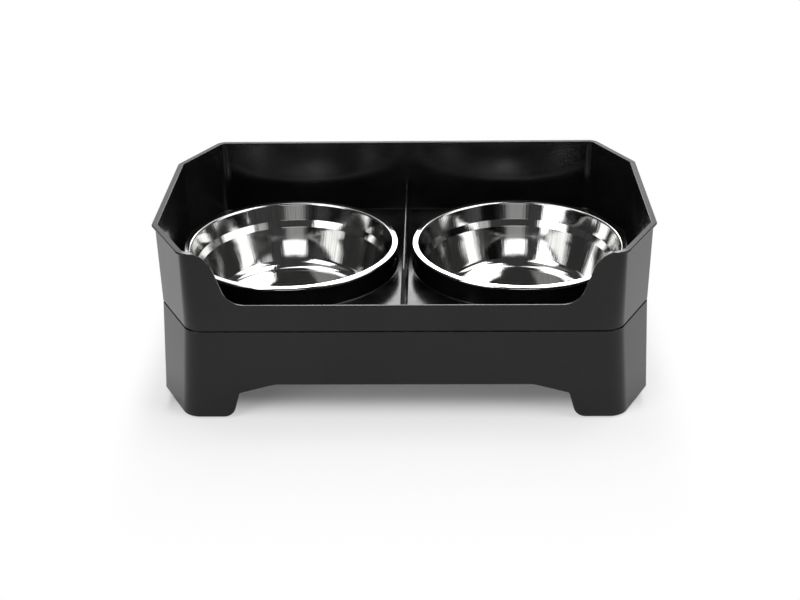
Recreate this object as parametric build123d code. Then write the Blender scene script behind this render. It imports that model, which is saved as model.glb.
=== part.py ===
from build123d import *
from math import tan, radians
import os

# A raised double feeder for a dog: a splash tray that nests on a four-legged base, two bowls
# that drop into it and four rubber pads. Millimetres, +Z up and +Y to the back. The origin is
# on the floor under the middle of the stand.

# Overall size
overall_width = 420.0
overall_depth = 256.5
overall_height = 153.0

# Eight-sided plan
chamfer_top = 30.0  # what a long corner chamfer takes off the width, at the top of the tray
chamfer_seam = 30.5
chamfer_floor = 27.2
chamfer_slope = 1.87  # depth that a chamfer takes off, for each millimetre of width
end_radius_top = 8.0  # corners beside the front and back faces, larger towards the seam
end_radius_seam = 18.0
side_radius = 5.0  # corners beside the two sides
wall = 2.5

# Tray
rim_overhang = 2.7
rim_height = 2.0
rim_rounding = 0.8
opening_rounding = 0.7
wall_lean = 0.55  # how far the wall leans in from the rim to the seam
tray_bottom = 81.8
tray_floor = 2.4
floor_fillet = 2.0
lip_height = 104.5  # top of the low front
shoulder_width = 56.7  # of the front wall beside the opening, halfway up the opening's shoulders
shoulder_angle = 72.0
shoulder_radius = 27.0  # the rounded top of a shoulder
shoulder_foot_radius = 19.0  # the hollow at its foot
opening_run_in = 12.0  # how far its cutter starts inside the front wall
spigot_depth = 8.0
spigot_wall = 2.0
spigot_clearance = 0.5

# Collars that carry the bowls
bowl_spacing = 202.6
collar_clearance = 1.1  # between the bowl's mouth and the collar's bore
collar_wall = 2.6
collar_draft = 1.0
collar_rounding = 0.8
collar_foot_radius = 2.0
collar_foot_reach = 4.0  # width of the flat ring that joins a collar to the floor

# Divider between the bowls
divider_top = 116.0
divider_thin = 2.0
divider_thick = 4.4
divider_slope_run = 45.55  # from the front wall back to where the top edge becomes level
divider_sunk = 1.0  # how far its ends reach into the walls

# Drain slots in the tray floor behind each bowl
slot_length = 20.0
slot_width = 3.0
slot_pitch = 26.0
slot_count = 3
slot_from_back = 16.0

# Bowl, as the middle line of its sheet, measured down from the rim and out from the axis
bowl_top = 105.2
bowl_sheet = 0.8
rim_radius = 95.2
rim_bend = 1.2
rim_drop = 2.2
rim_return = 1.6
rim_return_bend = 0.8
mouth_radius = 88.9
mouth_bend = 1.6
upper_bow = 1.1  # how far the wall above the step is bowed out, before its bend
step_upper_radius = 86.1
step_upper_depth = 14.3
step_lower_radius = 83.2
step_lower_depth = 20.8
step_bend = 2.1
lower_bow = 2.1  # the same, below the step
bow_share = 0.4  # of half the wall's length that a bow's bend takes up on each side
bowl_depth = 57.2
bowl_foot_radius = 69.9  # where the wall's line would meet the bottom
bowl_foot_bend = 12.6
plateau_inset = 11.5  # from there in to the stamped middle of the bottom, a little raised
plateau_height = 0.9
plateau_slope = 1.2
plateau_bend = 0.6

# Base
foot_gap = 1.2  # how far the pads hold the legs off the floor
base_flare = 2.9  # how far the wall spreads from the seam to the floor
seam_gap = 1.6  # the dark line between tray and base
seam_rounding = 0.4  # of the outer edges beside that line
tongue_wall = 1.2
arch_height = 31.5  # of the openings at the front and the back, and of the pan's underside
side_arch_height = 30.0
arch_slope_run = 30.0
arch_slope_drop = 8.0
arch_bend = 8.0
arch_corner = 2.5  # the bend between an arch's slope and a leg's inner face
lower_edge_rounding = 0.7  # of the outer edge along the arches and round the legs
leg_lean = 16.0  # degrees from upright, of the inner faces of a leg
leg_width = 65.55  # of a leg at the floor, before its inner edge is rounded
leg_depth = 69.8
leg_rounding = 10.5
leg_clearance = 21.0  # how far past a leg's inner line the passages' cutters reach at the floor

# Pads
pad_radius = 12.0
pad_height = 2.0
pad_clearance = 0.2
pad_rounding = 0.4
pad_from_side = 35.65  # from a pad's middle to the sides of its leg
pad_from_front = 30.9

# Worked out from the above
half_width = overall_width / 2 - rim_overhang
half_depth = overall_depth / 2 - rim_overhang
seam_half_width = half_width - wall_lean
seam_half_depth = half_depth - wall_lean
floor_half_width = seam_half_width + base_flare
floor_half_depth = seam_half_depth + base_flare
shoulder_middle = half_width - shoulder_width
leg_line_x = floor_half_width - leg_width
leg_line_y = floor_half_depth - leg_depth
pad_x = floor_half_width - pad_from_side
pad_y = floor_half_depth - pad_from_front
floor_top = tray_bottom + tray_floor
base_top = tray_bottom - seam_gap
bowl_x = bowl_spacing / 2
collar_bore = mouth_radius + collar_clearance
collar_top = bowl_top - bowl_sheet
plateau_radius = bowl_foot_radius - plateau_inset
pad_recess = pad_height - foot_gap
beyond = 5.0  # how far a cutter runs past its work


def outline(plan_half_width, plan_half_depth, chamfer, end_radius, height):
    """Return the eight-sided plan at one height, with its corners rounded."""
    run = chamfer * chamfer_slope
    right = [
        (plan_half_width - chamfer, -plan_half_depth),
        (plan_half_width, run - plan_half_depth),
        (plan_half_width, plan_half_depth - run),
        (plan_half_width - chamfer, plan_half_depth),
    ]
    left = [(-x, y) for x, y in reversed(right)]
    radii = [end_radius, side_radius, side_radius, end_radius]
    edge = FilletPolyline(*right, *left, radius=radii + radii, close=True)
    return Pos(0, 0, height) * make_face(edge)


def top_outline(height):
    """Return the plan of the wall at the top of the tray."""
    return outline(half_width, half_depth, chamfer_top, end_radius_top, height)


def seam_outline(height):
    """Return the plan where the tray stands on the base."""
    return outline(seam_half_width, seam_half_depth, chamfer_seam, end_radius_seam, height)


def floor_outline(height):
    """Return the plan at the bottom of the legs."""
    return outline(floor_half_width, floor_half_depth, chamfer_floor, end_radius_seam, height)


def front_opening():
    """Return the cutter that lowers the front wall between two S-shaped shoulders."""
    shift = (overall_height - lip_height) / 2 / tan(radians(shoulder_angle))
    crest = shoulder_middle + shift
    foot = shoulder_middle - shift
    high = overall_height + beyond
    points = [
        (-overall_width, high),
        (-overall_width, overall_height),
        (-crest, overall_height),
        (-foot, lip_height),
        (foot, lip_height),
        (crest, overall_height),
        (overall_width, overall_height),
        (overall_width, high),
    ]
    bends = [0, 0, shoulder_radius, shoulder_foot_radius, shoulder_foot_radius, shoulder_radius, 0, 0]
    profile = make_face(FilletPolyline(*points, radius=bends, close=True))
    cutter = extrude(Plane.XZ * profile, rim_overhang + wall + opening_run_in + beyond)
    return Pos(0, wall + opening_run_in - half_depth, 0) * cutter


def rim_lip():
    """Return the lip outside the wall's top edge. It reaches half the wall's width over the wall."""
    underside = overall_height - rim_height
    lip = extrude(offset(top_outline(underside), rim_overhang), rim_height)
    lip = fillet(lip.faces().filter_by(Axis.Z).edges(), rim_rounding)
    return lip - extrude(offset(top_outline(underside), -wall / 2), rim_height)


def wall_shell():
    """Return the tray's floor and walls with the rim lip, before the bowls' places."""
    solid = loft([seam_outline(tray_bottom), top_outline(overall_height)])
    solid = fillet(solid.faces().sort_by(Axis.Z)[0].edges(), seam_rounding)
    inside = loft([offset(seam_outline(floor_top), -wall), offset(top_outline(overall_height), -wall)])
    solid -= fillet(inside.faces().sort_by(Axis.Z)[0].edges(), floor_fillet)
    opening = front_opening()
    shell = solid - opening
    cut = new_edges(solid, opening, combined=shell)
    shell = fillet([edge for edge in cut if abs(edge.tangent_at(0.5).Y) < 0.99], opening_rounding)
    return shell + (rim_lip() - opening)


def collar():
    """Return one raised collar, round its own axis."""
    outer = collar_bore + collar_wall
    edge = FilletPolyline(
        (collar_bore, tray_bottom),
        (collar_bore, collar_top),
        (outer, collar_top),
        (outer + collar_draft, floor_top),
        (outer + collar_draft + collar_foot_reach, floor_top),
        (outer + collar_draft + collar_foot_reach, tray_bottom),
        radius=[0, collar_rounding, collar_rounding, collar_foot_radius, 0, 0],
        close=True,
    )
    return revolve(Plane.XZ * make_face(edge), Axis.Z)


def divider():
    """Return the drafted wall between the two bowls."""
    reach = half_depth - wall_lean - wall + divider_sunk
    low = Pos(0, 0, floor_top - divider_sunk) * Rectangle(divider_thick, 2 * reach)
    high = Pos(0, 0, divider_top) * Rectangle(divider_thin, 2 * reach)
    side = Polyline(
        (-reach, 0),
        (-reach, lip_height - opening_rounding),
        (divider_slope_run - half_depth, divider_top),
        (reach, divider_top),
        (reach, 0),
        close=True,
    )
    return loft([low, high]) & extrude(Plane.YZ * make_face(side), divider_thick, both=True)


def drain_slots(centre):
    """Return the cutters of the drain slots behind one bowl."""
    slots = Part()
    for number in range(slot_count):
        x = centre + (number - (slot_count - 1) / 2) * slot_pitch
        y = seam_half_depth - slot_from_back
        slots += Pos(x, y, tray_bottom) * extrude(SlotOverall(slot_length, slot_width), tray_floor)
    return slots


def splash_tray():
    """Return the tray: shell, collars, divider, drain slots and locating rib."""
    body = wall_shell()
    for x in (-bowl_x, bowl_x):
        body -= Pos(x, 0, tray_bottom) * Cylinder(
            collar_bore + collar_wall, tray_floor, align=(Align.CENTER, Align.CENTER, Align.MIN)
        )
        body += Pos(x, 0, 0) * collar()
    body += divider()
    for x in (-bowl_x, bowl_x):
        body -= drain_slots(x)
    seat = seam_outline(tray_bottom - spigot_depth)
    reach = wall + spigot_clearance
    rib = extrude(offset(seat, -reach), spigot_depth)
    rib -= extrude(offset(seat, -reach - spigot_wall), spigot_depth)
    return body + rib


def arch(leg_line, height):
    """Return the profile of the opening between two legs."""
    corner_rise = height - arch_slope_drop - foot_gap
    corner = leg_line - corner_rise * tan(radians(leg_lean))
    right = [
        (leg_line + leg_clearance, foot_gap - beyond),
        (leg_line + leg_clearance, foot_gap),
        (leg_line, foot_gap),
        (corner, foot_gap + corner_rise),
        (corner - arch_slope_run, height),
    ]
    left = [(-x, z) for x, z in reversed(right)]
    bends = [0, 0, leg_rounding, arch_corner, arch_bend]
    edge = FilletPolyline(*right, *left, radius=bends + bends[::-1], close=True)
    return make_face(edge)


def passages(growth):
    """Return the openings through the base, front to back and side to side, grown by an amount."""
    front = arch(leg_line_x, arch_height)
    side = arch(leg_line_y, side_arch_height)
    if growth:
        front = offset(front, growth)
        side = offset(side, growth)
    along = extrude(Plane.XZ * front, overall_depth, both=True)
    across = extrude(Plane.YZ * side, overall_width, both=True)
    return along, across


def base_block():
    """Return the base before it is hollowed: on four legs, with its outer edges rounded."""
    block = loft([floor_outline(foot_gap), seam_outline(base_top)])
    for passage in passages(0):
        block -= passage
    over_arches = arch_height + beyond
    outer_faces = [face for face in block.faces() if face.bounding_box().max.Z > over_arches]
    edges = [edge for face in outer_faces for edge in face.edges()]
    low_edges = [edge for edge in edges if edge.bounding_box().max.Z < over_arches]
    block = fillet(low_edges, lower_edge_rounding)
    return fillet(block.faces().sort_by(Axis.Z)[-1].edges(), seam_rounding)


def base():
    """Return the base: a tub of even thickness with four hollow legs."""
    body = base_block()
    body += extrude(offset(seam_outline(base_top), tongue_wall - wall), seam_gap)
    low = offset(floor_outline(foot_gap + wall), -wall)
    high = offset(seam_outline(tray_bottom), -wall)
    inside = loft([low, high])
    for passage in passages(wall):
        inside -= passage
    body -= inside
    for x in (-pad_x, pad_x):
        for y in (-pad_y, pad_y):
            body -= Pos(x, y, foot_gap + pad_recess / 2) * Cylinder(pad_radius + pad_clearance, pad_recess)
    return body


def bowed(low, high, bow):
    """Return the middle point of a wall that is bowed outwards, and the radius of its bend."""
    middle = (Vector(*low) + Vector(*high)) / 2
    half_length = (Vector(*high) - Vector(*low)).length / 2
    return (middle.X + bow, middle.Y), bow_share * half_length**2 / bow


def bowl(x):
    """Return a bowl of even sheet thickness, in its place."""
    bottom = bowl_depth - bowl_sheet / 2
    foot = (bowl_foot_radius, -bottom)
    step_low = (step_lower_radius, -step_lower_depth)
    step_high = (step_upper_radius, -step_upper_depth)
    mouth = (mouth_radius, 0)
    lower_middle, lower_bend = bowed(foot, step_low, lower_bow)
    upper_middle, upper_bend = bowed(step_high, mouth, upper_bow)
    bottom_bends = [plateau_bend, plateau_bend, bowl_foot_bend]
    wall_bends = [lower_bend, step_bend, step_bend, upper_bend]
    bends = bottom_bends + wall_bends + [mouth_bend, rim_bend, rim_return_bend]
    middle = FilletPolyline(
        (0, plateau_height - bottom),
        (plateau_radius, plateau_height - bottom),
        (plateau_radius + plateau_slope, -bottom),
        foot,
        lower_middle,
        step_low,
        step_high,
        upper_middle,
        mouth,
        (rim_radius, 0),
        (rim_radius, -rim_drop),
        (rim_radius - rim_return, -rim_drop),
        radius=bends,
    )
    profile = Plane.XZ * trace(middle, bowl_sheet)
    return Pos(x, 0, bowl_top - bowl_sheet / 2) * revolve(profile, Axis.Z)


def pad(x, y):
    """Return one rubber pad in its place."""
    body = Cylinder(pad_radius, pad_height, align=(Align.CENTER, Align.CENTER, Align.MIN))
    body = fillet(body.edges().filter_by(GeomType.CIRCLE).sort_by(Axis.Z)[0], pad_rounding)
    return Pos(x, y, 0) * body


os.makedirs("parts", exist_ok=True)
nodes = {
    "splash_tray": splash_tray(),
    "base": base(),
    "bowl_left": bowl(-bowl_x),
    "bowl_right": bowl(bowl_x),
    "foot_front_left": pad(-pad_x, -pad_y),
    "foot_front_right": pad(pad_x, -pad_y),
    "foot_back_left": pad(-pad_x, pad_y),
    "foot_back_right": pad(pad_x, pad_y),
}
for name, solid in nodes.items():
    export_step(solid, f"parts/{name}.step")
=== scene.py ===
import math
import bmesh
import bpy
import numpy as np
from mathutils import Matrix, Vector
from mathutils.geometry import delaunay_2d_cdt


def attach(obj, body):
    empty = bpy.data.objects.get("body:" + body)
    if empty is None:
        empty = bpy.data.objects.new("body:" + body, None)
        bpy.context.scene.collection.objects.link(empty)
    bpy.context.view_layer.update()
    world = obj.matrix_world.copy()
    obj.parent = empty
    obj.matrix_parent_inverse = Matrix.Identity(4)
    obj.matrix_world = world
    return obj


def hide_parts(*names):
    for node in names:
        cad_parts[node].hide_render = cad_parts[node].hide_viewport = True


# A raised double dog feeder: black splash tray on a black legged base, two polished steel bowls.
# Shapes are worked out in millimetres and go into the meshes in metres.

mm = 0.001
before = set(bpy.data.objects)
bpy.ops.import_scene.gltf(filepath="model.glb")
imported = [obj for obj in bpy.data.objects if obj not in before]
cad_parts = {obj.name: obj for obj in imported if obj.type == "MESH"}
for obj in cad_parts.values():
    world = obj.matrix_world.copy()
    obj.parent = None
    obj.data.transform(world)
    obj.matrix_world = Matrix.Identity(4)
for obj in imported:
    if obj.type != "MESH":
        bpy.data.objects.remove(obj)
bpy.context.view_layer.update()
print("frame loaded:", ", ".join(sorted(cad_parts)))

# outlines of tray and base, as in the CAD source: half width, half depth, the chamfer's run along
# the front and the radius between the two; slope is its run along the side over that run
plan = dict(
    top=(207.3, 125.55, 30.0, 8.0), seam=(206.75, 125.0, 30.5, 18.0), floor=(209.65, 127.9, 27.2, 18.0),
    slope=1.87, sideRadius=5.0, wall=2.5, endSteps=14, sideSteps=10, wallSteps=8,
)
chamferLean = math.atan2(1, plan["slope"])  # the chamfer's normal, below the x axis
wallShares = np.linspace(0, 1, plan["wallSteps"] + 1)[None]  # of its height, where a wall has points

# how meshes are made: weld steps in a millimetre, the bend in degrees past which an edge stays
# sharp, and how strongly large faces lead in the normals, where 50 is not at all
meshing = dict(weldSteps=1e4, sharpAngle=32, normalWeight=80)


def onCircle(turns):
    return np.stack([np.cos(turns), np.sin(turns)], 1)


def roundedLine(corners, radii, steps):
    # straight runs whose inner corners are arcs: an arc leaves the corner by radius / tan(half the
    # corner's angle), and its centre is radius / sin(half the angle) along the corner's bisector
    corners = np.asarray(corners, float)
    run = [corners[:1]]
    for before, corner, after, radius in zip(corners, corners[1:], corners[2:], radii):
        u = (before - corner) / np.linalg.norm(before - corner)
        v = (after - corner) / np.linalg.norm(after - corner)
        half = math.acos(np.clip(u @ v, -1, 1)) / 2
        centre = corner + (u + v) / np.linalg.norm(u + v) * radius / math.sin(half)
        first, last = corner + u * radius / math.tan(half), corner + v * radius / math.tan(half)
        a = math.atan2(*(first - centre)[::-1])
        sweep = (math.atan2(*(last - centre)[::-1]) - a + math.pi) % (2 * math.pi) - math.pi
        run.append(centre + radius * onCircle(a + sweep * np.linspace(0, 1, steps + 1)))
    run.append(corners[-1:])
    return np.concatenate(run)


def unit(rows):
    return rows / np.linalg.norm(rows, axis=1, keepdims=True)


def lineNormals(line):
    # a line's left-hand normals: at each point the two runs beside it count alike
    step = unit(np.diff(line, axis=0))
    along = unit(np.concatenate([step[:1], step[:-1] + step[1:], step[-1:]]))
    return np.stack([-along[:, 1], along[:, 0]], 1)


def divided(line, longest):
    # a line with more points: every run longer than the limit is cut into equal parts
    parts = [np.linspace(a, b, max(1, math.ceil(np.linalg.norm(b - a) / longest)), endpoint=False)
             for a, b in zip(line, line[1:])]
    return np.concatenate(parts + [line[-1:]])


def turned(profile, centre, turns):
    # a profile of radius and height carried round a vertical axis: one row for each angle
    r, z = profile[None, :, 0], profile[None, :, 1]
    c, s = np.cos(turns)[:, None], np.sin(turns)[:, None]
    return np.stack([centre[0] + r * c, centre[1] + r * s, z + 0 * c], -1)


def holedPlate(edge, centre, radius, height, rows):
    # a flat plate round a hole: each edge point is joined to the hole's rim at its own angle
    turns = np.arctan2(edge[:, 1] - centre[1], edge[:, 0] - centre[0])
    rim = centre + radius * onCircle(turns)
    share = np.linspace(0, 1, rows + 1)[None, :, None]
    flat = rim[:, None] + share * (edge - rim)[:, None]
    return np.concatenate([flat, np.full(flat.shape[:2] + (1,), height)], -1), turns


def plateWithHoles(loops, height):
    # a flat plate between its outer loop, which comes first, and its holes: points and triangles,
    # without those whose corners all lie on one hole's loop
    insideOnly, nearest = 1, 1e-3  # the triangulation's kind of output, and points taken as one
    points = np.concatenate(loops)
    loopOf = np.repeat(np.arange(len(loops)), [len(loop) for loop in loops])
    edges, start = [], 0
    for loop in loops:
        index = np.arange(len(loop)) + start
        edges += np.stack([index, np.roll(index, -1)], 1).tolist()
        start += len(loop)
    places = [Vector(point) for point in points.tolist()]
    _, _, faces, sources, *_ = delaunay_2d_cdt(places, edges, [], insideOnly, nearest)
    faces = np.array([[sources[i][0] for i in face] for face in faces])
    inHole = (loopOf[faces].min(1) == loopOf[faces].max(1)) & (loopOf[faces[:, 0]] > 0)
    return np.column_stack([points, np.full(len(points), height)]), faces[~inHole]


def mirrored(grid, x, y=1):
    return grid * np.array([x, y, 1.0])


def weldPatches(patches, plates):
    # each patch is a grid of points, with flags for joining its last row or column to its first;
    # points that agree to a weld step become one, and quads that lose a corner triangles
    points, quads, start = [], [], 0
    for grid, wrapRows, wrapColumns in patches:
        rows, columns = grid.shape[:2]
        index = np.arange(rows * columns).reshape(rows, columns) + start
        if wrapRows:
            index = np.vstack([index, index[:1]])
        if wrapColumns:
            index = np.hstack([index, index[:, :1]])
        square = [index[:-1, :-1], index[1:, :-1], index[1:, 1:], index[:-1, 1:]]
        quads.append(np.stack(square, -1).reshape(-1, 4))
        points.append(grid.reshape(-1, 3))
        start += rows * columns
    flat = []
    for corners, faces in plates:
        flat.append(faces + start)
        points.append(corners)
        start += len(corners)
    points, quads = np.concatenate(points), np.concatenate(quads)
    keys = np.round(points * meshing["weldSteps"]).astype(np.int64)
    _, first, where = np.unique(keys, axis=0, return_index=True, return_inverse=True)
    where = where.reshape(-1)
    quads = where[quads]
    same = quads == np.roll(quads, -1, axis=1)
    whole = quads[same.sum(1) == 0]
    corners = same.sum(1) == 1
    triangles = quads[corners][~same[corners]].reshape(-1, 3)
    flat = [where[faces].tolist() for faces in flat]
    return points[first], sum(flat, whole.tolist() + triangles.tolist())


def addObject(name, data):
    made = bpy.data.objects.new(name, data)
    bpy.context.scene.collection.objects.link(made)
    return made


def makePiece(name, patches, body, nodes, material, plates=()):
    # one welded mesh with its faces outwards, smooth but for real edges, riding on its body
    points, faces = weldPatches(patches, plates)
    mesh = bpy.data.meshes.new(name)
    mesh.from_pydata(points * mm, [], faces)
    work = bmesh.new()
    work.from_mesh(mesh)
    bmesh.ops.recalc_face_normals(work, faces=work.faces)
    openEdges = sum(1 for edge in work.edges if len(edge.link_faces) != 2)
    work.to_mesh(mesh)
    work.free()
    mesh.shade_smooth()
    mesh.set_sharp_from_angle(angle=math.radians(meshing["sharpAngle"]))
    piece = addObject(name, mesh)
    mesh.materials.append(material)
    even = piece.modifiers.new("evenNormals", "WEIGHTED_NORMAL")
    even.keep_sharp = True
    even.weight = meshing["normalWeight"]
    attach(piece, body)
    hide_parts(*nodes)
    print(f"{name}: {len(mesh.vertices)} points, {len(mesh.polygons)} faces, {openEdges} open edges")


def cornerRuns(endRadius):
    # how far the arcs at the chamfer's ends reach: radius times the tangent of half the turn
    return (endRadius * math.tan((math.pi / 2 - chamferLean) / 2),
            plan["sideRadius"] * math.tan(chamferLean / 2))


def quarterOutline(halfWidth, halfDepth, chamfer, endRadius, shares):
    # the plan's front right quarter from (0, front) to (right, 0), with its outward normals:
    # shares place the points on the front, the chamfer and the side, and arcs fill the corners
    endRun, sideRun = cornerRuns(endRadius)
    sideRadius = plan["sideRadius"]
    along = np.array([math.sin(chamferLean), math.cos(chamferLean)])
    cornerA = np.array([halfWidth - chamfer, -halfDepth])
    cornerB = np.array([halfWidth, chamfer * plan["slope"] - halfDepth])
    front, chamferShares, side = shares
    points, turns = [], []

    def straight(a, b, share, turn):
        points.append(a + share[:, None] * (b - a))
        turns.append(np.full(len(share), turn))

    def corner(centre, radius, a, b, steps):
        turn = np.linspace(a, b, steps + 1)[1:-1]
        points.append(centre + radius * onCircle(turn))
        turns.append(turn)

    straight(np.array([0, -halfDepth]), cornerA - [endRun, 0], front, -math.pi / 2)
    corner(cornerA + [-endRun, endRadius], endRadius, -math.pi / 2, -chamferLean, plan["endSteps"])
    straight(cornerA + endRun * along, cornerB - sideRun * along, chamferShares, -chamferLean)
    corner(cornerB + [-sideRadius, sideRun], sideRadius, -chamferLean, 0, plan["sideSteps"])
    straight(cornerB + [0, sideRun], np.array([halfWidth, 0.0]), side, 0.0)
    return np.concatenate(points), onCircle(np.concatenate(turns))


def wholeLoop(quarter, toBack=(1, -1), toLeft=(-1, 1)):
    # a quarter's points carried to the whole loop: mirrored to the back, then to the left; plain
    # values are carried with factors of one
    right = np.concatenate([quarter, (quarter * toBack)[-2::-1]])
    return np.concatenate([right, (right * toLeft)[-2:0:-1]])


def wallLoops(lowOutline, highOutline, shares):
    # the whole loops at a wall's lower and upper outline, and the lower one's normals
    low, normal = quarterOutline(*plan[lowOutline], shares)
    high, _ = quarterOutline(*plan[highOutline], shares)
    return wholeLoop(low), wholeLoop(high), wholeLoop(normal)


def wallGrid(low, high, normal, lowZ, highZ, out, z):
    # a wall's point: the low outline's point, moved towards the high outline's by its share of
    # the height, then outwards along the outline's normal
    share = np.clip((z - lowZ) / (highZ - lowZ), 0, 1)[..., None]
    flat = low[:, None] + share * (high - low)[:, None] + out[..., None] * normal[:, None]
    return np.concatenate([flat, z[..., None]], -1)


def bend(centreOut, centreZ, radiusOut, radiusZ, start, end, steps):
    # part of an ellipse beside each loop point: centre plus the radii times cosine and sine
    turn = np.radians(np.linspace(start, end, steps + 1))[None]
    values = (centreOut, centreZ, radiusOut, radiusZ)
    co, cz, ro, rz = [np.atleast_1d(np.asarray(value, float))[:, None] for value in values]
    return co + ro * np.cos(turn), cz + rz * np.sin(turn)


def level(*pairs):
    # profile points that are the same all along the loop
    return [np.array([row]) for row in zip(*pairs)]


def profileColumns(count, runs):
    # the runs of a profile side by side: for each loop point, how far out and how high
    wide = [np.broadcast_arrays(out, z, np.zeros((count, 1))) for out, z in runs]
    return [np.concatenate([run[part] for run in wide], 1) for part in (0, 1)]


def addNode(tree, kind, inputs, **settings):
    # a shader node: its settings first, then its sockets, each linked or given a value
    node = tree.nodes.new("ShaderNode" + kind)
    for key, value in settings.items():
        setattr(node, key, value)
    for key, value in inputs.items():
        if isinstance(value, bpy.types.NodeSocket):
            tree.links.new(value, node.inputs[key])
        else:
            node.inputs[key].default_value = value
    return node


def calculate(tree, operation, *values):
    return addNode(tree, "Math", dict(enumerate(values)), operation=operation).outputs[0]


def ramp(tree, value, low, high, start=0.0, end=1.0):
    # start below low, end above high, and a smooth step between them
    inputs = {"Value": value, "From Min": low, "From Max": high, "To Min": start, "To Max": end}
    return addNode(tree, "MapRange", inputs, interpolation_type="SMOOTHSTEP").outputs["Result"]


def noise(tree, vector, scale, detail=2.0, roughness=0.5):
    return addNode(tree, "TexNoise", {"Vector": vector, "Scale": scale, "Detail": detail,
                                      "Roughness": roughness}).outputs["Fac"]


def newGroup(name, inputs, outputs):
    # a shader node group with its sockets: the tree, its input values and its output sockets
    group = bpy.data.node_groups.new(name, "ShaderNodeTree")
    for socket, value in inputs.items():
        kind = "NodeSocketVector" if value is None else "NodeSocketFloat"
        made = group.interface.new_socket(socket, in_out="INPUT", socket_type=kind)
        if value is not None:
            made.default_value = value
    for socket in outputs:
        group.interface.new_socket(socket, in_out="OUTPUT", socket_type="NodeSocketFloat")
    return group, group.nodes.new("NodeGroupInput").outputs, group.nodes.new("NodeGroupOutput").inputs


# what the shared effects keep in every material: the ends of their smooth steps, and their noise's
# detail and roughness, after its scale where that is kept too
effects = dict(
    patchNoise=(4.0, 0.6), patchColor=(0.35, 0.65), patchGloss=(0.3, 0.7),
    wearSamples=4, wearTurn=(0.995, 0.9), wearNoise=(90.0, 5.0, 0.65), wearBreaks=(0.4, 0.62),
    dustFacing=(0.5, 0.95), cloudNoise=(5.0, 0.7), clouds=(0.38, 0.7), speckScale=1400.0,
    specks=(0.45, 0.75, 0.4, 1.0), streakRise=9.0, streakNoise=(1.0, 3.0, 0.6), streakMiddle=(0.02, 0.055),
    streakLines=(0.45, 0.7), smudgeNoise=(6.0, 0.7), smudges=(0.42, 0.72),
)


def makeSkinGroup():
    # a moulded surface: soft orange peel with fine grain on it, and broad patches that vary slowly
    group, given, result = newGroup(
        "mouldedSkin", {"Vector": None, "Peel Scale": 300.0, "Grain Scale": 2500.0, "Grain Share": 0.3,
                        "Patch Scale": 18.0}, ["Height", "Patches"])
    peel = noise(group, given["Vector"], given["Peel Scale"])
    grain = noise(group, given["Vector"], given["Grain Scale"])
    height = calculate(group, "MULTIPLY_ADD", grain, given["Grain Share"], peel)
    patches = noise(group, given["Vector"], given["Patch Scale"], *effects["patchNoise"])
    group.links.new(height, result["Height"])
    group.links.new(patches, result["Patches"])
    return group


def makeWearGroup():
    # edges, found where a rounded normal leaves the real one, and broken up by noise
    e = effects
    group, given, result = newGroup("edgeWear", {"Vector": None, "Width": 0.001, "Amount": 1.0}, ["Mask"])
    inputs = {"Radius": given["Width"]}
    rounded = addNode(group, "Bevel", inputs, samples=e["wearSamples"]).outputs["Normal"]
    real = addNode(group, "NewGeometry", {}).outputs["Normal"]
    turn = addNode(group, "VectorMath", {0: rounded, 1: real}, operation="DOT_PRODUCT").outputs["Value"]
    edge = ramp(group, turn, *e["wearTurn"])
    patchy = ramp(group, noise(group, given["Vector"], *e["wearNoise"]), *e["wearBreaks"])
    mask = calculate(group, "MULTIPLY", calculate(group, "MULTIPLY", edge, patchy), given["Amount"])
    group.links.new(mask, result["Mask"])
    return group


def makeDustGroup():
    # fine dust that settles on what faces up, in thin and thicker clouds
    e = effects
    group, given, result = newGroup("dust", {"Vector": None, "Cloud Scale": 25.0, "Amount": 0.1}, ["Mask"])
    normal = addNode(group, "NewGeometry", {}).outputs["Normal"]
    up = ramp(group, addNode(group, "SeparateXYZ", {0: normal}).outputs["Z"], *e["dustFacing"])
    clouds = noise(group, given["Vector"], given["Cloud Scale"], *e["cloudNoise"])
    clouds = ramp(group, clouds, *e["clouds"])
    specks = ramp(group, noise(group, given["Vector"], e["speckScale"]), *e["specks"])
    mask = calculate(group, "MULTIPLY", calculate(group, "MULTIPLY", up, clouds),
                     calculate(group, "MULTIPLY", specks, given["Amount"]))
    group.links.new(mask, result["Mask"])
    return group


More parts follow.
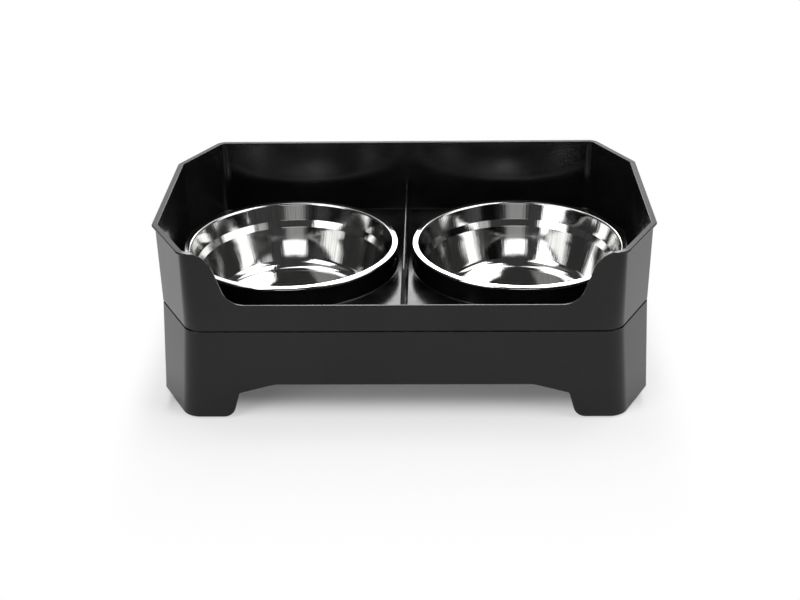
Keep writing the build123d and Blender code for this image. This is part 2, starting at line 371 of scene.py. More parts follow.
def makeSpunGroup():
    # spun sheet round its own axis: fine rings, streaks drawn up the wall, and smudges. Rings are
    # noise over radius and height, streaks are noise over the angle and fade out in the middle
    e = effects
    group, given, result = newGroup(
        "spunSheet", {"Vector": None, "Ring Scale": 1800.0, "Ring Depth": 1e-6, "Streak Scale": 26.0,
                      "Streak Depth": 1e-5, "Smudge Scale": 30.0}, ["Height", "Smudges", "Streaks"])

    def vector(operation, *values):
        node = addNode(group, "VectorMath", dict(enumerate(values)), operation=operation)
        return node.outputs["Value" if operation == "LENGTH" else "Vector"]

    place = addNode(group, "SeparateXYZ", {0: given["Vector"]}).outputs
    flat = addNode(group, "CombineXYZ", {"X": place["X"], "Y": place["Y"]}).outputs[0]
    radius = vector("LENGTH", flat)
    ringAt = addNode(group, "CombineXYZ", {"X": radius, "Y": place["Z"]}).outputs[0]
    rings = noise(group, ringAt, given["Ring Scale"], 1.0)
    streakAt = vector("MULTIPLY", vector("NORMALIZE", flat), given["Streak Scale"])
    along = calculate(group, "MULTIPLY", calculate(group, "ADD", radius, place["Z"]), e["streakRise"])
    lift = addNode(group, "CombineXYZ", {"Z": along}).outputs[0]
    streaks = noise(group, vector("ADD", streakAt, lift), *e["streakNoise"])
    streaks = calculate(group, "MULTIPLY", streaks, ramp(group, radius, *e["streakMiddle"]))
    lines = ramp(group, streaks, *e["streakLines"])
    streaks = calculate(group, "MULTIPLY", streaks, given["Streak Depth"])
    height = calculate(group, "MULTIPLY_ADD", rings, given["Ring Depth"], streaks)
    smudges = noise(group, given["Vector"], given["Smudge Scale"], *e["smudgeNoise"])
    group.links.new(height, result["Height"])
    group.links.new(ramp(group, smudges, *e["smudges"]), result["Smudges"])
    group.links.new(lines, result["Streaks"])
    return group


skinGroup, wearGroup = makeSkinGroup(), makeWearGroup()
dustGroup, spunGroup = makeDustGroup(), makeSpunGroup()


def newMaterial(name, **sockets):
    material = bpy.data.materials.new(name)
    material.use_nodes = True
    shader = material.node_tree.nodes["Principled BSDF"]
    for key, value in sockets.items():
        shader.inputs[key].default_value = value
    return material, material.node_tree, shader


def placeGroup(tree, group, inputs):
    return addNode(tree, "Group", inputs, node_tree=group).outputs


def mixColors(tree, mask, first, second):
    # the first colour where the mask is 0, and the second where it is 1
    first, second = [color if isinstance(color, bpy.types.NodeSocket) else (*color, 1)
                     for color in (first, second)]
    return addNode(tree, "Mix", {0: mask, 6: first, 7: second}, data_type="RGBA").outputs[2]


dustColor = (0.28, 0.27, 0.25)


def feedShader(tree, shader, where, look, color, rough, height):
    # how every finish ends: dust over its colour and roughness, and its height as a bump
    dusty = placeGroup(tree, dustGroup, {
        "Vector": where, "Cloud Scale": look["cloudScale"], "Amount": look["dust"]})["Mask"]
    color = mixColors(tree, dusty, color, dustColor)
    rough = calculate(tree, "MULTIPLY_ADD", dusty, look["dustRoughness"], rough)
    inputs = {"Height": height, "Strength": 1.0, "Distance": look["depth"]}
    normal = addNode(tree, "Bump", inputs).outputs["Normal"]
    for socket, value in (("Base Color", color), ("Roughness", rough), ("Normal", normal)):
        tree.links.new(value, shader.inputs[socket])


def plasticMaterial(name, look):
    # a black moulding, of plastic or rubber: two near blacks in slow patches, and paler worn edges
    material, tree, shader = newMaterial(name, IOR=look["ior"])
    where = addNode(tree, "TexCoord", {}).outputs["Object"]
    skin = placeGroup(tree, skinGroup, {
        "Vector": where, "Peel Scale": look["peelScale"], "Grain Scale": look["grainScale"],
        "Grain Share": look["grainShare"], "Patch Scale": look["patchScale"]})
    worn = placeGroup(tree, wearGroup, {
        "Vector": where, "Width": look["wearWidth"], "Amount": look["wear"]})["Mask"]
    patches = ramp(tree, skin["Patches"], *effects["patchColor"])
    color = mixColors(tree, patches, look["dark"], look["pale"])
    color = mixColors(tree, worn, color, look["wornColor"])
    rough = ramp(tree, skin["Patches"], *effects["patchGloss"], *look["roughness"])
    rough = calculate(tree, "MULTIPLY_ADD", worn, look["wornRoughness"], rough)
    feedShader(tree, shader, where, look, color, rough, skin["Height"])
    return material


# scales are features in a metre; depth and the width of the wear are metres
trayLook = dict(
    dark=(0.004, 0.004, 0.0045), pale=(0.0068, 0.0068, 0.0075), ior=1.36, roughness=(0.17, 0.23),
    peelScale=260.0, grainScale=2600.0, grainShare=0.05, patchScale=16.0, depth=6e-6,
    wear=0.35, wearWidth=0.0011, wornColor=(0.05, 0.05, 0.05), wornRoughness=0.12,
    dust=0.10, cloudScale=22.0, dustRoughness=0.6,
)
baseLook = dict(
    dark=(0.004, 0.004, 0.0044), pale=(0.0068, 0.0068, 0.0073), ior=1.36, roughness=(0.18, 0.25),
    peelScale=320.0, grainScale=2200.0, grainShare=0.16, patchScale=13.0, depth=1.3e-5,
    wear=0.35, wearWidth=0.0012, wornColor=(0.05, 0.05, 0.05), wornRoughness=0.15,
    dust=0.12, cloudScale=18.0, dustRoughness=0.6,
)
rubberLook = dict(
    dark=(0.024, 0.024, 0.024), pale=(0.036, 0.036, 0.035), ior=1.5, roughness=(0.62, 0.78),
    peelScale=900.0, grainScale=3200.0, grainShare=0.5, patchScale=80.0, depth=6e-5,
    wear=0.5, wearWidth=0.0008, wornColor=(0.09, 0.09, 0.085), wornRoughness=0.1,
    dust=0.2, cloudScale=90.0, dustRoughness=0.6,
)
trayPlastic = plasticMaterial("trayPlastic", trayLook)
basePlastic = plasticMaterial("basePlastic", baseLook)
footRubber = plasticMaterial("footRubber", rubberLook)

steelLook = dict(
    bright=(0.72, 0.72, 0.71), dull=(0.64, 0.64, 0.63), streak=(0.56, 0.56, 0.55), roughness=(0.045, 0.10),
    ringScale=1800.0, ringDepth=2.5e-6, streakScale=60.0, streakDepth=5e-5, smudgeScale=30.0,
    depth=1.0, dust=0.05, cloudScale=35.0, dustRoughness=0.3,  # its height is in metres already
)


def steelMaterial(name, x):
    # polished spun steel round the axis at x: rings and streaks in its bump, streaks and smudges in
    # its colour, and smudges in its gloss
    look = steelLook
    material, tree, shader = newMaterial(name, Metallic=1.0)
    where = addNode(tree, "TexCoord", {}).outputs["Object"]
    centred = addNode(tree, "Mapping", {"Vector": where, "Location": (-x * mm, 0, 0)}).outputs[0]
    spun = placeGroup(tree, spunGroup, {
        "Vector": centred, "Ring Scale": look["ringScale"], "Ring Depth": look["ringDepth"],
        "Streak Scale": look["streakScale"], "Streak Depth": look["streakDepth"],
        "Smudge Scale": look["smudgeScale"]})
    color = mixColors(tree, spun["Smudges"], look["bright"], look["dull"])
    color = mixColors(tree, spun["Streaks"], color, look["streak"])
    rough = ramp(tree, spun["Smudges"], 0.0, 1.0, *look["roughness"])
    feedShader(tree, shader, centred, look, color, rough, spun["Height"])
    return material


print("plastic and rubber made")


tray = dict(
    bottom=81.8, top=153.0, floorTop=84.2, floorFillet=2.0, rimHeight=2.0, rimLeast=1.5, rimOverhang=2.7,
    rimRounding=0.8, rimFadeDrop=2.4, rimFadeRun=1.6, underRadius=0.8, underShare=0.42, underHeight=0.55,
    ledge=0.3, ledgeShare=0.3, wallDrop=0.6, wallRise=0.3, edgeRounding=0.7, footRounding=0.4,
    lipHeight=104.5, shoulderMiddle=150.6, shoulderAngle=72.0, shoulderRadius=27.0, shoulderFootRadius=19.0,
    ribDepth=8.0, ribWall=2.0, ribGap=0.5, ribBevel=0.4, bowlX=101.3,
    collarBore=90.0, collarWall=2.6, collarDraft=1.0, collarTop=104.4, collarRounding=0.8, collarFoot=2.0,
    collarFillet=1.94, boreRounding=0.3, boreReturn=0.5, collarTurns=288,
    dividerTop=116.0, dividerThin=2.0, dividerThick=4.4, dividerBend=-80.0, dividerBendRadius=14.0,
    dividerSunk=1.0, dividerFoot=1.0, dividerFootSunk=0.5, dividerRounding=0.42, dividerStep=6.0,
    slotLength=20.0, slotWidth=3.0, slotPitch=26.0, slotY=109.0, slotSteps=8,
    frontShares=(0.72, 40, 56), chamferShares=(0.2, 14, 18), sideCount=22, middleSteps=81,
)


def twoDensities(change, before, after):
    # shares from 0 to 1, evenly spaced up to the change and evenly, at another pitch, past it
    return np.concatenate([np.linspace(0, change, before, endpoint=False), np.linspace(change, 1, after)])


def shoulderHeight(x):
    # height of the front wall's top edge: the low lip, an S-shaped shoulder, then the rim
    t, beyond, steps = tray, 400, 60
    shift = (t["top"] - t["lipHeight"]) / 2 / math.tan(math.radians(t["shoulderAngle"]))
    line = roundedLine(
        [(0, t["lipHeight"]), (t["shoulderMiddle"] - shift, t["lipHeight"]),
         (t["shoulderMiddle"] + shift, t["top"]), (beyond, t["top"])],
        [t["shoulderFootRadius"], t["shoulderRadius"]], steps)
    return np.interp(np.abs(x), line[:, 0], line[:, 1])


def trayPatches():
    t, wall = tray, plan["wall"]
    shares = (twoDensities(*t["frontShares"]), twoDensities(*t["chamferShares"]),
              np.linspace(0, 1, t["sideCount"]))
    low, high, normal = wallLoops("seam", "top", shares)
    count = len(low)
    top = np.full(count, t["top"])
    for _ in range(6):  # the edge's height depends on x, and x a little on the height
        share = ((top - t["bottom"]) / (t["top"] - t["bottom"]))[:, None]
        at = low + share * (high - low)
        top = np.where(at[:, 1] < 0, shoulderHeight(at[:, 0]), t["top"])
    fade = np.clip((top - t["top"] + t["rimFadeDrop"]) / t["rimFadeRun"], 0, 1)
    lip = fade * fade * (3 - 2 * fade)  # the rim's lip runs out where the shoulder cuts it
    out = t["rimOverhang"] * lip
    thick = np.maximum(top - t["top"] + t["rimHeight"], t["rimLeast"])
    r = t["edgeRounding"] + (t["rimRounding"] - t["edgeRounding"]) * lip
    under = np.minimum(t["underRadius"], t["underShare"] * out)
    ledge = np.minimum(t["ledge"], t["ledgeShare"] * out)
    inner, foot, fillet, bevel = t["edgeRounding"], t["footRounding"], t["floorFillet"], t["ribBevel"]
    rise = wallShares[:, 1:-1]
    start, ledgeZ = t["floorTop"] + fillet, (top - thick - t["wallDrop"])[:, None]
    ribOut = -wall - t["ribGap"]
    ribIn, deep = ribOut - t["ribWall"], t["bottom"] - t["ribDepth"]
    runs = [
        bend(-wall - fillet, start, fillet, fillet, -90, 0, 8),
        (-wall, start + rise * (top - inner - start)[:, None]),
        bend(inner - wall, top - inner, inner, inner, 180, 90, 6),
        bend(out - r, top - r, r, r, 90, 0, 6),
        bend(out - under, top - thick + t["underHeight"], under, t["underHeight"], 0, -90, 6),
        bend(ledge, top - thick - t["ledge"], ledge, t["ledge"], 90, 180, 3),
        (0.0, ledgeZ + (t["bottom"] + foot + t["wallRise"] - ledgeZ) * rise),
        bend(-foot, t["bottom"] + foot, foot, foot, 0, -90, 4),
        level((ribOut, t["bottom"]), (ribOut, deep + bevel), (ribOut - bevel, deep), (ribIn + bevel, deep),
              (ribIn, deep + bevel), (ribIn, t["bottom"])),
    ]
    side = wallGrid(low, high, normal, t["bottom"], t["top"], *profileColumns(count, runs))
    patches = [(side, True, False)]

    # each half of the floor is a plate round a collar, closed along the middle line, with drain
    # slots behind the collar: straight sides and half-round ends
    bore, outer = t["collarBore"], t["collarBore"] + t["collarWall"]
    atFloor = outer + t["collarDraft"]
    collar = roundedLine(
        [(atFloor + t["collarFoot"], t["floorTop"]), (atFloor, t["floorTop"]), (outer, t["collarTop"]),
         (bore, t["collarTop"]), (bore, t["bottom"]), (bore + t["boreReturn"], t["bottom"])],
        [t["collarFillet"], t["collarRounding"], t["collarRounding"], t["boreRounding"]], 8)
    centre = np.array([t["bowlX"], 0.0])
    turns = np.linspace(0, 2 * np.pi, t["collarTurns"], endpoint=False)
    end = onCircle(np.linspace(-np.pi / 2, np.pi / 2, t["slotSteps"] + 1))
    right = end * t["slotWidth"] / 2 + [(t["slotLength"] - t["slotWidth"]) / 2, 0]
    slots = [np.concatenate([right, -right]) + centre + [number * t["slotPitch"], t["slotY"]]
             for number in (-1, 0, 1)]
    levels, plates = (t["floorTop"], t["bottom"]), []
    for column in (0, -1):
        edge = side[:count // 2 + 1, column, :2]
        middle = np.linspace(edge[-1, 1], edge[0, 1], t["middleSteps"] + 1)[1:-1]
        edge = np.concatenate([edge, np.stack([0 * middle, middle], 1)])
        hole = centre + collar[column, 0] * onCircle(turns)
        points, faces = plateWithHoles([edge, hole] + slots, levels[column])
        plates += [(points, faces), (mirrored(points, -1), faces)]
    strips = [turned(collar, centre, turns)]
    for slot in slots:
        strips.append(np.stack([np.column_stack([slot, np.full(len(slot), z)]) for z in levels], 1))
    for strip in strips:
        patches += [(strip, True, False), (mirrored(strip, -1), True, False)]
    return patches, plates


def dividerPatches():
    # the wall between the bowls: a drafted profile with a filleted foot and a rounded top, carried
    # from the front, where its top edge falls to the low lip, to the back wall
    t, halfFoot = tray, tray["dividerThick"] / 2
    reach = plan["seam"][1] - plan["wall"] + t["dividerSunk"]
    line = roundedLine(
        [(-reach, t["lipHeight"] - t["edgeRounding"]), (t["dividerBend"], t["dividerTop"]),
         (reach, t["dividerTop"])], [t["dividerBendRadius"]], 12)
    line = divided(line, t["dividerStep"])
    y, top = line[:, 0], line[:, 1]
    lean = (t["dividerThick"] - t["dividerThin"]) / 2 / (t["dividerTop"] - t["floorTop"])
    foot, r = t["dividerFoot"], t["dividerRounding"] * t["dividerThin"]
    atFoot = halfFoot - lean * foot
    runs = [
        level((atFoot + foot, t["floorTop"] - t["dividerFootSunk"])),
        bend(atFoot + foot, t["floorTop"] + foot, foot, foot, -90, -180, 6),
        bend(halfFoot - lean * (top - r - t["floorTop"]) - r, top - r, r, r, 0, 90, 6),
    ]
    x, z = profileColumns(len(y), runs)
    right = np.stack([x, np.broadcast_to(y[:, None], x.shape), z], -1)
    left = mirrored(right, -1)
    ends = [(np.stack([right[k], left[k]], 1), False, False) for k in (0, -1)]
    return [(np.concatenate([right, left[:, ::-1]], 1), False, True)] + ends


trayShell, trayPlates = trayPatches()
makePiece("splashTray", trayShell + dividerPatches(), "tray", ["splash_tray"],
          trayPlastic, trayPlates)
print("splash tray built")


base = dict(
    footGap=1.2, top=80.2, tongueTop=81.8, tongueWall=1.2, tongueBevel=0.2, topRounding=0.4,
    edgeRounding=0.7, roundingSteps=5, wallRise=1.5, wallDrop=0.3,
    archHeight=31.5, sideArchHeight=30.0, slopeRun=30.0, slopeDrop=8.0, archBend=8.0, archCorner=2.5,
    legLean=16.0, legLineX=144.1, legLineY=58.1, legRounding=10.5, legReach=30.0, archStep=4.0,
    padX=174.0, padY=97.0, recessRadius=12.2, recessDepth=0.8,
    frontFlat=29, sideFlat=9, frontEnd=7, sideEnd=5, chamferCount=16, underSteps=12, plateRows=8,
    least=0.02, apart=0.05,  # how close two heights come before they count as one
)


def archLine(height, legLine, grow):
    # half of the opening between two legs, from its middle outwards, as distance and height;
    # grown by a wall it is the pan's floor and the inner faces of the leg wells
    b, gap = base, base["footGap"]
    rise = height - b["slopeDrop"] - gap
    corner = legLine - rise * math.tan(math.radians(b["legLean"]))
    line = roundedLine(
        [(0, height), (corner - b["slopeRun"], height), (corner, gap + rise), (legLine, gap),
         (legLine + b["legReach"], gap)],
        [b["archBend"], b["archCorner"], b["legRounding"]], 12)
    line = divided(line, b["archStep"])
    return line + grow * lineNormals(line)


def falling(line):
    # the part of such a line that falls, from the end of the level top to the level foot
    tiny = 1e-6
    first = np.nonzero(line[:, 1] > line[0, 1] - tiny)[0][-1]
    last = np.nonzero(line[:, 1] < line[-1, 1] + tiny)[0][0]
    return line[first:last + 1]


def archHeights():
    # heights where the loop's columns meet the openings: the falling parts' points of both lines,
    # so that the two openings' surfaces meet in points of both
    lines = [falling(archLine(base["archHeight"], base["legLineX"], 0)),
             falling(archLine(base["sideArchHeight"], base["legLineY"], 0))]
    heights = np.unique(np.round(np.concatenate([line[:, 1] for line in lines]), 6))[::-1]
    return heights[np.concatenate([[True], np.diff(heights) < -base["apart"]])]


def archSamples(heights, grow):
    # the openings' edges as x and z along the front and as y and z along the side, and how many
    # points of each come before the side opening's edge starts to fall
    b, top = base, base["sideArchHeight"]
    least, frontFlat, sideFlat = b["least"], b["frontFlat"], b["sideFlat"]
    heights = np.concatenate([heights[heights > top + least], [top], heights[heights < top - least]])
    heights[-1] = b["footGap"]
    above = int((heights > top + least).sum())
    front = falling(archLine(b["archHeight"], b["legLineX"], grow))
    side = falling(archLine(top, b["legLineY"], grow))
    x = np.interp(heights + grow, front[::-1, 1], front[::-1, 0])
    y = np.interp(heights[above:] + grow, side[::-1, 1], side[::-1, 0])
    x = np.concatenate([np.linspace(0, x[0], frontFlat + 1)[:-1], x])
    y = np.concatenate([np.linspace(0, y[0], sideFlat + 1)[:-1], y])
    frontZ = np.concatenate([np.full(frontFlat, heights[0]), heights]) + grow
    sideZ = np.concatenate([np.full(sideFlat, top), heights[above:]]) + grow
    return np.stack([x, frontZ], 1), np.stack([y, sideZ], 1), frontFlat + above, sideFlat


def baseShares(frontLine, sideLine, lowZ, highZ):
    # shares along the front and the side that put the loop's columns on those samples
    b = base

    def ends(z):
        share = (z - lowZ) / (highZ - lowZ)
        width, depth, chamfer, radius = [low + share * (high - low)
                                         for low, high in zip(plan["floor"], plan["seam"])]
        endRun, sideRun = cornerRuns(radius)
        return width - chamfer - endRun, depth - chamfer * plan["slope"] - sideRun

    front = frontLine[:, 0] / ends(frontLine[:, 1])[0]
    side = (1 - sideLine[:, 0] / ends(sideLine[:, 1])[1])[::-1]
    front = np.concatenate([front, np.linspace(front[-1], 1, b["frontEnd"] + 1)[1:]])
    side = np.concatenate([np.linspace(0, side[0], b["sideEnd"] + 1)[:-1], side])
    foot = b["frontEnd"] + b["chamferCount"] + plan["endSteps"] + plan["sideSteps"] - 2 + b["sideEnd"]
    heights = np.concatenate([frontLine[:, 1], np.full(foot, frontLine[-1, 1]), sideLine[::-1, 1]])
    return (front, np.linspace(0, 1, b["chamferCount"]), side), heights


def underPatches(edge, frontCount, sideCount, above, flat):
    # one quarter of the surface between the walls, as high as the higher of the two openings:
    # strips run from the line where the openings meet to the walls, and the leg is level
    front, side = edge[:frontCount], edge[::-1][:sideCount]
    share = np.linspace(0, 1, base["underSteps"] + 1)
    crossX, crossY, height = front[above:, 0], side[flat:, 1], side[flat:, 2]

    def strip(x0, x1, y0, y1, z):
        x = x0[:, None] + share * (x1 - x0)[:, None]
        y = y0[:, None] + share * (y1 - y0)[:, None]
        return np.stack([x, y, np.broadcast_to(z[:, None], x.shape)], -1)

    toFront = strip(crossX, crossX, crossY, front[above:, 1], height)
    toSide = strip(crossX, side[flat:, 0], crossY, crossY, height)
    x, y, z = front[:above + 1].T
    rows = side[:flat + 1, 1]
    beyond = strip(x, x, np.full(above + 1, crossY[0]), y, z)
    middle = np.stack(np.broadcast_arrays(x[:, None], rows[None], z[:, None]), -1)
    start, levelZ = np.full(flat + 1, crossX[0]), np.full(flat + 1, height[0])
    outside = strip(start, side[:flat + 1, 0], rows, rows, levelZ)
    leg = np.concatenate([toFront[-1], edge[frontCount:len(edge) - sideCount], toSide[-1][::-1][:-1]])
    return [toFront, toSide, beyond, middle, outside], leg


def basePatches():
    # outer wall down to the openings' edges, which are rounded: the rounding's centre lies one
    # radius into the material, along the wall and behind it
    b, gap, wall = base, base["footGap"], plan["wall"]
    heights = archHeights()
    frontLine, sideLine, above, flat = archSamples(heights, 0.0)
    shares, bottom = baseShares(frontLine, sideLine, gap, b["top"])
    low, high, normal = wallLoops("floor", "seam", shares)
    bottom = wholeLoop(bottom, 1, 1)[:, None]
    count, quarter = len(low), len(low) // 4 + 1
    edge = wallGrid(low, high, normal, gap, b["top"], np.zeros((count, 1)), bottom)[:, 0]
    step = unit(np.roll(edge, -1, 0) - edge)
    out = np.concatenate([normal, np.zeros((count, 1))], 1)
    into = np.cross(out, unit(step + np.roll(step, 1, 0)))
    r = b["edgeRounding"]
    turn = np.radians(np.linspace(90, 0, b["roundingSteps"] + 1))[None, :, None]
    centre = (edge + r * into - r * out)[:, None]
    rounding = centre + r * (out[:, None] * np.cos(turn) - into[:, None] * np.sin(turn))
    start = bottom + b["wallRise"]
    tr, tongue, lid = b["topRounding"], b["tongueWall"] - wall, b["tongueTop"] - b["tongueBevel"]
    runs = [
        (0.0, start + wallShares[:, 1:-1] * (b["top"] - tr - b["wallDrop"] - start)),
        bend(-tr, b["top"] - tr, tr, tr, 0, 90, 4),
        level((tongue, b["top"]), (tongue, lid), (tongue - b["tongueBevel"], b["tongueTop"])),
    ]
    outer = wallGrid(low, high, normal, gap, b["top"], *profileColumns(count, runs))
    outer = np.concatenate([rounding, outer], 1)
    underneath, leg = underPatches(rounding[:quarter, 0], len(frontLine), len(sideLine), above, flat)
    padCentre = np.array([b["padX"], -b["padY"]])
    radius, roof = b["recessRadius"], gap + b["recessDepth"]
    sole, turns = holedPlate(leg[:, :2], padCentre, radius, gap, b["plateRows"])
    recess = np.array([(radius, gap), (radius, roof), (0, roof)])
    quarters = [(grid, False, False) for grid in underneath]
    quarters += [(sole, True, False), (turned(recess, padCentre, turns), True, False)]

    # inner wall down to the pan's floor, which follows the openings one wall higher
    frontLine, sideLine, above, flat = archSamples(heights, wall)
    shares, bottom = baseShares(frontLine, sideLine, gap + wall, b["tongueTop"])
    low, high, normal = wallLoops("floor", "seam", shares)
    bottom = wholeLoop(bottom, 1, 1)[:, None]
    runs = [level((b["tongueBevel"] - wall, b["tongueTop"])), (-wall, lid + wallShares * (bottom - lid))]
    columns = profileColumns(len(low), runs)
    inner = wallGrid(low, high, normal, gap + wall, b["tongueTop"], *columns)
    floor, well = underPatches(inner[:len(low) // 4 + 1, -1], len(frontLine), len(sideLine), above, flat)
    bottomPlate, _ = holedPlate(well[:, :2], padCentre, 0.0, gap + wall, b["plateRows"])
    quarters += [(grid, False, False) for grid in floor] + [(bottomPlate, True, False)]
    tongueTop = np.stack([outer[:, -1], inner[:, 0]], 1)
    patches = [(grid, True, False) for grid in (outer, tongueTop, inner)]
    for x, y in ((1, 1), (1, -1), (-1, 1), (-1, -1)):
        patches += [(mirrored(grid, x, y), a, c) for grid, a, c in quarters]
    return patches


makePiece("base", basePatches(), "base", ["base"], basePlastic)
print("base built")


# a step is its radius and its depth below the middle of the rim's sheet
bowl = dict(
    top=105.2, sheet=0.8, rimRadius=95.2, rimBend=1.2, rimDrop=2.2, rimReturn=1.6, returnBend=0.8,
    mouthRadius=89.3, mouthBend=1.6, upperBow=0.1, stepUpper=(85.0, 14.9), stepLower=(82.1, 20.9),
    stepBend=1.4, lowerBow=1.25, bowShare=0.55, depth=57.2, footRadius=68.6, footBend=12.6,
    plateauRadius=58.4, plateauHeight=0.9, plateauSlope=1.2, plateauBend=0.6,
    bendSteps=14, lineStep=4.0, turns=256,
)


def bowed(low, high, bow):
    # the middle of a wall that is bowed outwards, and its bend: the share of half the wall's length
    # squared, over the bow
    low, high = np.array(low), np.array(high)
    half = np.linalg.norm(high - low) / 2
    return (low + high) / 2 + [bow, 0], bowl["bowShare"] * half**2 / bow


def bowlPatch(x):
    # a spun bowl: its sheet's middle line, moved half a sheet both ways, turned round its axis
    b = bowl
    bottom = b["sheet"] / 2 - b["depth"]
    raised, rim = b["plateauHeight"] + bottom, b["rimRadius"]
    foot, mouth = (b["footRadius"], bottom), (b["mouthRadius"], 0)
    stepLow, stepHigh = [(radius, -depth) for radius, depth in (b["stepLower"], b["stepUpper"])]
    lowerMiddle, lowerBend = bowed(foot, stepLow, b["lowerBow"])
    upperMiddle, upperBend = bowed(stepHigh, mouth, b["upperBow"])
    corners = [
        (0, raised), (b["plateauRadius"], raised), (b["plateauRadius"] + b["plateauSlope"], bottom),
        foot, lowerMiddle, stepLow, stepHigh, upperMiddle, mouth,
        (rim, 0), (rim, -b["rimDrop"]), (rim - b["rimReturn"], -b["rimDrop"])]
    bends = [
        b["plateauBend"], b["plateauBend"], b["footBend"], lowerBend, b["stepBend"], b["stepBend"],
        upperBend, b["mouthBend"], b["rimBend"], b["returnBend"]]
    line = divided(roundedLine(corners, bends, b["bendSteps"]), b["lineStep"])
    normal = lineNormals(line) * b["sheet"] / 2
    profile = np.concatenate([line + normal, (line - normal)[::-1]])
    profile[:, 1] += b["top"] - b["sheet"] / 2
    turns = np.linspace(0, 2 * np.pi, b["turns"], endpoint=False)
    return turned(profile, (x, 0.0), turns)


for side, x in (("Left", -tray["bowlX"]), ("Right", tray["bowlX"])):
    node = "bowl_" + side.lower()
    steel = steelMaterial("bowlSteel" + side, x)
    makePiece("bowl" + side, [(bowlPatch(x), True, False)], node, [node], steel)
print("bowls built")


pad = dict(radius=12.0, height=2.0, topRounding=0.15, rounding=0.4, turns=48)


def padPatch(x, y):
    # a disc with rounded edges, turned round its axis
    r, top = pad["radius"], pad["height"]
    profile = roundedLine([(0, top), (r, top), (r, 0), (0, 0)], [pad["topRounding"], pad["rounding"]], 5)
    return turned(profile, (x, y), np.linspace(0, 2 * np.pi, pad["turns"], endpoint=False))


for front, y in (("Front", -base["padY"]), ("Back", base["padY"])):
    for side, x in (("Left", -base["padX"]), ("Right", base["padX"])):
        node = f"foot_{front.lower()}_{side.lower()}"
        patch = (padPatch(x, y), True, False)
        makePiece("foot" + front + side, [patch], "base", [node], footRubber)
print("pads built")


# place and sensor in millimetres, angles in degrees, focal length and picture's width in pixels
view = dict(place=(24.03, -1133.13, 614.99), turn=-1.49, down=26.62, roll=-0.86, focal=1395.69,
            width=800, sensor=36.0, nearest=10.0)


def addCamera():
    # looks along turn and down, then rolls about that line; the lens is the focal length over the
    # picture's width, times the sensor's width
    a, d, r = (math.radians(view[key]) for key in ("turn", "down", "roll"))
    ahead = np.array([math.sin(a) * math.cos(d), math.cos(a) * math.cos(d), -math.sin(d)])
    across = np.array([math.cos(a), -math.sin(a), 0.0])
    up = np.cross(across, ahead)
    across, up = across * math.cos(r) + up * math.sin(r), up * math.cos(r) - across * math.sin(r)
    data = bpy.data.cameras.new("camera")
    data.sensor_width = view["sensor"]
    data.sensor_fit = "HORIZONTAL"
    data.lens = view["focal"] / view["width"] * view["sensor"]
    data.clip_start = view["nearest"] * mm
    camera = addObject("camera", data)
    place = [v * mm for v in view["place"]]
    rows = [[across[i], up[i], -ahead[i], place[i]] for i in range(3)]
    camera.matrix_world = Matrix(rows + [[0, 0, 0, 1]])
    bpy.context.scene.camera = camera


# soft boxes by where they stand round the object: degrees from the front towards the right, degrees
# up, metres off, width, height and brightness
softBoxes = dict(
    rightTop=(105, 65, 3.0, 2.3, 1.35, 3.0),
    leftTop=(-138, 67, 3.0, 1.5, 1.1, 2.4),
    leftFront=(-46, 29, 3.0, 1.8, 3.2, 2.6),
    rightFront=(77, 26, 3.0, 2.4, 2.8, 1.9),
    back=(180, 28.5, 3.0, 1.0, 0.38, 8.0),
)
aimHeight = 0.08  # the middle of the object, in metres


def addSoftBox(name, turn, up, far, width, height, brightness):
    # a panel that faces the object; its power is brightness x area x pi
    a, e = math.radians(turn), math.radians(up)
    ahead = Vector((math.sin(a) * math.cos(e), -math.cos(a) * math.cos(e), math.sin(e)))
    data = bpy.data.lights.new(name, "AREA")
    data.shape = "RECTANGLE"
    data.size, data.size_y = width, height
    data.energy = brightness * width * height * math.pi
    lamp = addObject(name, data)
    lamp.rotation_euler = ahead.to_track_quat("Z", "Y").to_euler()
    lamp.location = ahead * far + Vector((0, 0, aimHeight))
    lamp.visible_camera = False


# the fade to white, in metres: none over the clear half width and half depth, then a share of it
# in the near distance, and the rest between the far ones; squeeze shortens it beside the object
floorLook = dict(
    size=6.0, color=(0.9, 0.9, 0.9), lift=0.1, clear=(0.2, 0.088), squeeze=6.0,
    near=0.04, nearShare=0.48, far=(0.05, 0.28),
)


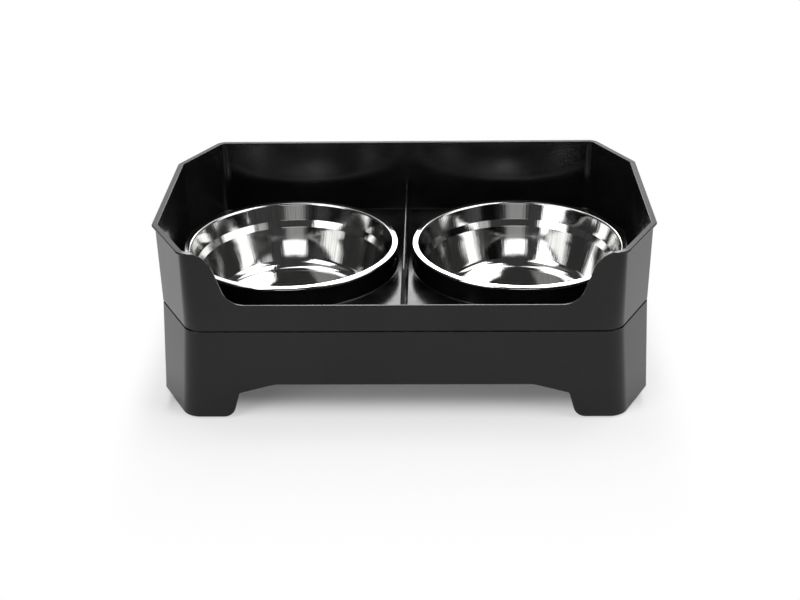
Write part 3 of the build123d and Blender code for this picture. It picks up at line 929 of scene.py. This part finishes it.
def addFloor():
    # a white floor that keeps the object's shadow: what the camera and reflections see of it is
    # lifted a little and fades to plain white, and the lamps light it as plain matt paper
    f = floorLook
    mesh = bpy.data.meshes.new("floor")
    mesh.from_pydata([(x * f["size"], y * f["size"], 0) for x, y in ((-1, -1), (1, -1), (1, 1), (-1, 1))],
                     [], [(0, 1, 2, 3)])
    floor = addObject("floor", mesh)
    material = bpy.data.materials.new("whiteFloor")
    material.use_nodes = True
    mesh.materials.append(material)
    tree = material.node_tree
    tree.nodes.clear()
    paper = addNode(tree, "BsdfDiffuse", {"Color": (*f["color"], 1)}).outputs[0]
    glow = addNode(tree, "Emission", {"Strength": f["lift"]}).outputs[0]
    both = addNode(tree, "AddShader", {0: paper, 1: glow}).outputs[0]
    white = addNode(tree, "Emission", {"Strength": 1.0}).outputs[0]
    place = addNode(tree, "TexCoord", {}).outputs["Object"]
    steps = (("ABSOLUTE", {}), ("SUBTRACT", {1: (*f["clear"], 0)}), ("MAXIMUM", {1: (0, 0, 0)}),
             ("MULTIPLY", {1: (f["squeeze"], 1, 1)}))
    for operation, other in steps:
        place = addNode(tree, "VectorMath", {0: place, **other}, operation=operation).outputs["Vector"]
    distance = addNode(tree, "VectorMath", {0: place}, operation="LENGTH").outputs["Value"]
    near = calculate(tree, "MULTIPLY", ramp(tree, distance, 0.0, f["near"]), f["nearShare"])
    fade = calculate(tree, "MULTIPLY_ADD", ramp(tree, distance, *f["far"]), 1 - f["nearShare"], near)
    seen = addNode(tree, "MixShader", {0: fade, 1: both, 2: white}).outputs[0]
    path = addNode(tree, "LightPath", {}).outputs
    shown = calculate(tree, "MAXIMUM", path["Is Camera Ray"], path["Is Glossy Ray"])
    shown = calculate(tree, "MAXIMUM", shown, path["Is Transmission Ray"])
    last = addNode(tree, "MixShader", {0: shown, 1: paper, 2: seen}).outputs[0]
    addNode(tree, "OutputMaterial", {"Surface": last})


# patches of the studio round the object, in degrees: turn from the front towards the right, half its
# width, height, half its height, the softness of its edges, and its brightness
studio = dict(
    frontMiddle=(1, 11, 5, 9, 3, 0.32),
    frontWindow=(2, 15, 17.2, 4.7, 1, 2.0),
    frontStreak=(43, 7, 23, 4, 2, 0.6),
    leftHaze=(-70, 28, 64, 9, 5, 0.38),
    leftVeil=(-80, 16, 46, 8, 5, 0.2),
    backWide=(180, 34, 25, 30, 6, 0.35),
    backMiddle=(180, 21, 25, 29, 5, 1.25),
    backUpper=(180, 21, 34, 13, 4, 1.9),
    backdrop=(180, 65, -10, 28, 5, 1.0),
)
studioShade = 0.05  # elsewhere


def addWorld():
    # the camera sees white; gloss and light get a dim studio with soft-edged patches, each one mixed
    # over those before it
    world = bpy.data.worlds.new("studio")
    bpy.context.scene.world = world
    world.use_nodes = True
    tree = world.node_tree
    tree.nodes.clear()
    direction = addNode(tree, "TexCoord", {}).outputs["Generated"]
    x, y, z = addNode(tree, "SeparateXYZ", {0: direction}).outputs
    turn = calculate(tree, "ARCTAN2", x, calculate(tree, "MULTIPLY", y, -1.0))
    up = calculate(tree, "ARCSINE", z)
    shade = studioShade

    def within(off, half, soft):
        # one where the angle off the patch's middle is less than half its width, with a soft edge
        off = calculate(tree, "ABSOLUTE", off)
        return ramp(tree, off, math.radians(half - soft), math.radians(half + soft), 1.0, 0.0)

    for name, (turnAt, halfTurn, upAt, halfUp, soft, value) in studio.items():
        off = calculate(tree, "SUBTRACT", turn, math.radians(turnAt))
        across = within(calculate(tree, "WRAP", off, math.pi, -math.pi), halfTurn, soft)
        upright = within(calculate(tree, "SUBTRACT", up, math.radians(upAt)), halfUp, soft)
        inputs = {"Factor": calculate(tree, "MULTIPLY", across, upright), 2: shade, 3: value}
        shade = addNode(tree, "Mix", inputs, data_type="FLOAT", label=name).outputs[0]
    dim = addNode(tree, "Background", {"Color": shade}).outputs[0]
    white = addNode(tree, "Background", {"Color": (1, 1, 1, 1)}).outputs[0]
    seen = addNode(tree, "LightPath", {}).outputs["Is Camera Ray"]
    both = addNode(tree, "MixShader", {0: seen, 1: dim, 2: white}).outputs[0]
    addNode(tree, "OutputWorld", {"Surface": both})


addCamera()
addFloor()
addWorld()
for name, box in softBoxes.items():
    addSoftBox(name, *box)
bpy.context.scene.view_settings.view_transform = "Standard"
print("camera, floor and light set")
